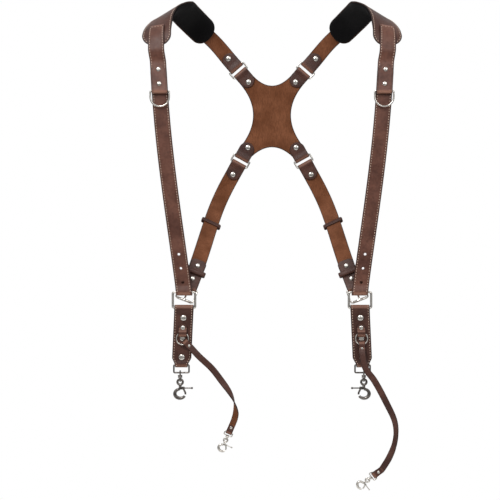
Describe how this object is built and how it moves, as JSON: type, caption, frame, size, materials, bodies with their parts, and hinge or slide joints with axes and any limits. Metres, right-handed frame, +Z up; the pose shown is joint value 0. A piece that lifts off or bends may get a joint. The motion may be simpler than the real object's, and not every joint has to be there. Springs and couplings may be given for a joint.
{
  "type": "dual camera harness",
  "caption": "Leather shoulder harness with padded straps, a cross plate on the back and a snap hook with a safety strap at each hip to carry a camera.",
  "frame": {"origin": "between the shoulders, level with the underside of the pads at their crest", "axes": "+Z up, -Y to the front of the wearer, +X to the wearer's left"},
  "size_m": [0.5034, 0.2429, 0.9648],
  "materials": {
    "leather": "oiled brown leather, burnished edges",
    "lining": "soft black padded lining",
    "nickel": "bright nickel plate",
    "dark_nickel": "dark nickel plate"
  },
  "bodies": {
    "harness": {"yoke_plate": "leather", "left_shoulder_pad_leather": "leather", "left_shoulder_pad_lining": "lining", "left_shoulder_strap": "leather", "left_chest_rivet_1": "nickel", "left_chest_rivet_2": "nickel", "left_front_strap": "leather", "left_side_ring": "nickel", "left_roller_buckle": "nickel", "left_rear_lower_strap": "leather", "left_rear_upper_strap": "leather", "left_yoke_upper_ring": "nickel", "left_yoke_lower_ring": "nickel", "left_upper_keeper": "leather", "left_lower_keeper": "leather", "left_drop_upper_rivet": "nickel", "left_drop_ring_rivet": "nickel", "left_drop_lower_rivet": "nickel", "left_drop_strap": "leather", "left_ring_tab": "leather", "left_o_ring": "nickel", "left_safety_strap": "leather", "left_clip_swivel": "nickel", "right_shoulder_pad_leather": "leather", "right_shoulder_pad_lining": "lining", "right_shoulder_strap": "leather", "right_chest_rivet_1": "nickel", "right_chest_rivet_2": "nickel", "right_front_strap": "leather", "right_side_ring": "nickel", "right_roller_buckle": "nickel", "right_rear_lower_strap": "leather", "right_rear_upper_strap": "leather", "right_yoke_upper_ring": "nickel", "right_yoke_lower_ring": "nickel", "right_upper_keeper": "leather", "right_lower_keeper": "leather", "right_drop_upper_rivet": "nickel", "right_drop_ring_rivet": "nickel", "right_drop_lower_rivet": "nickel", "right_drop_strap": "leather", "right_ring_tab": "leather", "right_o_ring": "nickel", "right_safety_strap": "leather", "right_clip_swivel": "nickel"},
    "left_chest_ring": {"left_chest_d_ring": "nickel"},
    "left_drop_ring": {"left_drop_ring": "dark_nickel"},
    "left_snap_swivel": {"left_snap_swivel": "dark_nickel"},
    "left_snap_body": {"left_snap_body": "dark_nickel"},
    "left_snap_gate": {"left_snap_gate": "dark_nickel"},
    "left_clip_body": {"left_clip_body": "nickel"},
    "left_clip_gate": {"left_clip_gate": "nickel"},
    "right_chest_ring": {"right_chest_d_ring": "nickel"},
    "right_drop_ring": {"right_drop_ring": "dark_nickel"},
    "right_snap_swivel": {"right_snap_swivel": "dark_nickel"},
    "right_snap_body": {"right_snap_body": "dark_nickel"},
    "right_snap_gate": {"right_snap_gate": "dark_nickel"},
    "right_clip_body": {"right_clip_body": "nickel"},
    "right_clip_gate": {"right_clip_gate": "nickel"}
  },
  "joints": [
    {"name": "left_chest_ring_swing", "type": "hinge", "parent": "harness", "child": "left_chest_ring", "pos_m": [0.216, -0.116, -0.185], "axis": [1, 0, 0], "range_deg": [-75, 0]},
    {"name": "left_drop_ring_swing", "type": "hinge", "parent": "harness", "child": "left_drop_ring", "pos_m": [0.1765, -0.072, -0.71475], "axis": [1, 0, 0], "range_deg": [-20, 20]},
    {"name": "left_snap_swing", "type": "hinge", "parent": "left_drop_ring", "child": "left_snap_swivel", "pos_m": [0.179, -0.072, -0.73005], "axis": [1, 0, 0], "range_deg": [-40, 40]},
    {"name": "left_snap_turn", "type": "hinge", "parent": "left_snap_swivel", "child": "left_snap_body", "pos_m": [0.179, -0.072, -0.7482], "axis": [0, 0, 1], "range_deg": [-90, 90]},
    {"name": "left_snap_gate_open", "type": "hinge", "parent": "left_snap_body", "child": "left_snap_gate", "pos_m": [0.1728, -0.072, -0.76005], "axis": [0, -1, 0], "range_deg": [0, 24], "stiffness_Nm_per_rad": 0.02, "springref_deg": -20.05},
    {"name": "left_clip_turn", "type": "hinge", "parent": "harness", "child": "left_clip_body", "pos_m": [0.18565, -0.0804, -0.93835], "axis": [-0.8, 0, -0.6], "range_deg": [-60, 60]},
    {"name": "left_clip_gate_open", "type": "hinge", "parent": "left_clip_body", "child": "left_clip_gate", "pos_m": [0.18154, -0.0804, -0.94702], "axis": [0, 1, 0], "range_deg": [0, 24], "stiffness_Nm_per_rad": 0.01, "springref_deg": -20.05},
    {"name": "right_chest_ring_swing", "type": "hinge", "parent": "harness", "child": "right_chest_ring", "pos_m": [-0.216, -0.116, -0.185], "axis": [1, 0, 0], "range_deg": [-75, 0]},
    {"name": "right_drop_ring_swing", "type": "hinge", "parent": "harness", "child": "right_drop_ring", "pos_m": [-0.1765, -0.072, -0.71475], "axis": [1, 0, 0], "range_deg": [-20, 20]},
    {"name": "right_snap_swing", "type": "hinge", "parent": "right_drop_ring", "child": "right_snap_swivel", "pos_m": [-0.179, -0.072, -0.73005], "axis": [1, 0, 0], "range_deg": [-40, 40]},
    {"name": "right_snap_turn", "type": "hinge", "parent": "right_snap_swivel", "child": "right_snap_body", "pos_m": [-0.179, -0.072, -0.7482], "axis": [0, 0, 1], "range_deg": [-90, 90]},
    {"name": "right_snap_gate_open", "type": "hinge", "parent": "right_snap_body", "child": "right_snap_gate", "pos_m": [-0.1728, -0.072, -0.76005], "axis": [0, 1, 0], "range_deg": [0, 24], "stiffness_Nm_per_rad": 0.02, "springref_deg": -20.05},
    {"name": "right_clip_turn", "type": "hinge", "parent": "harness", "child": "right_clip_body", "pos_m": [-0.09012, -0.0804, -0.86064], "axis": [-0.3998, 0, -0.9166], "range_deg": [-60, 60]},
    {"name": "right_clip_gate_open", "type": "hinge", "parent": "right_clip_body", "child": "right_clip_gate", "pos_m": [-0.08943, -0.0804, -0.87021], "axis": [0, 1, 0], "range_deg": [0, 24], "stiffness_Nm_per_rad": 0.01, "springref_deg": -20.05}
  ]
}
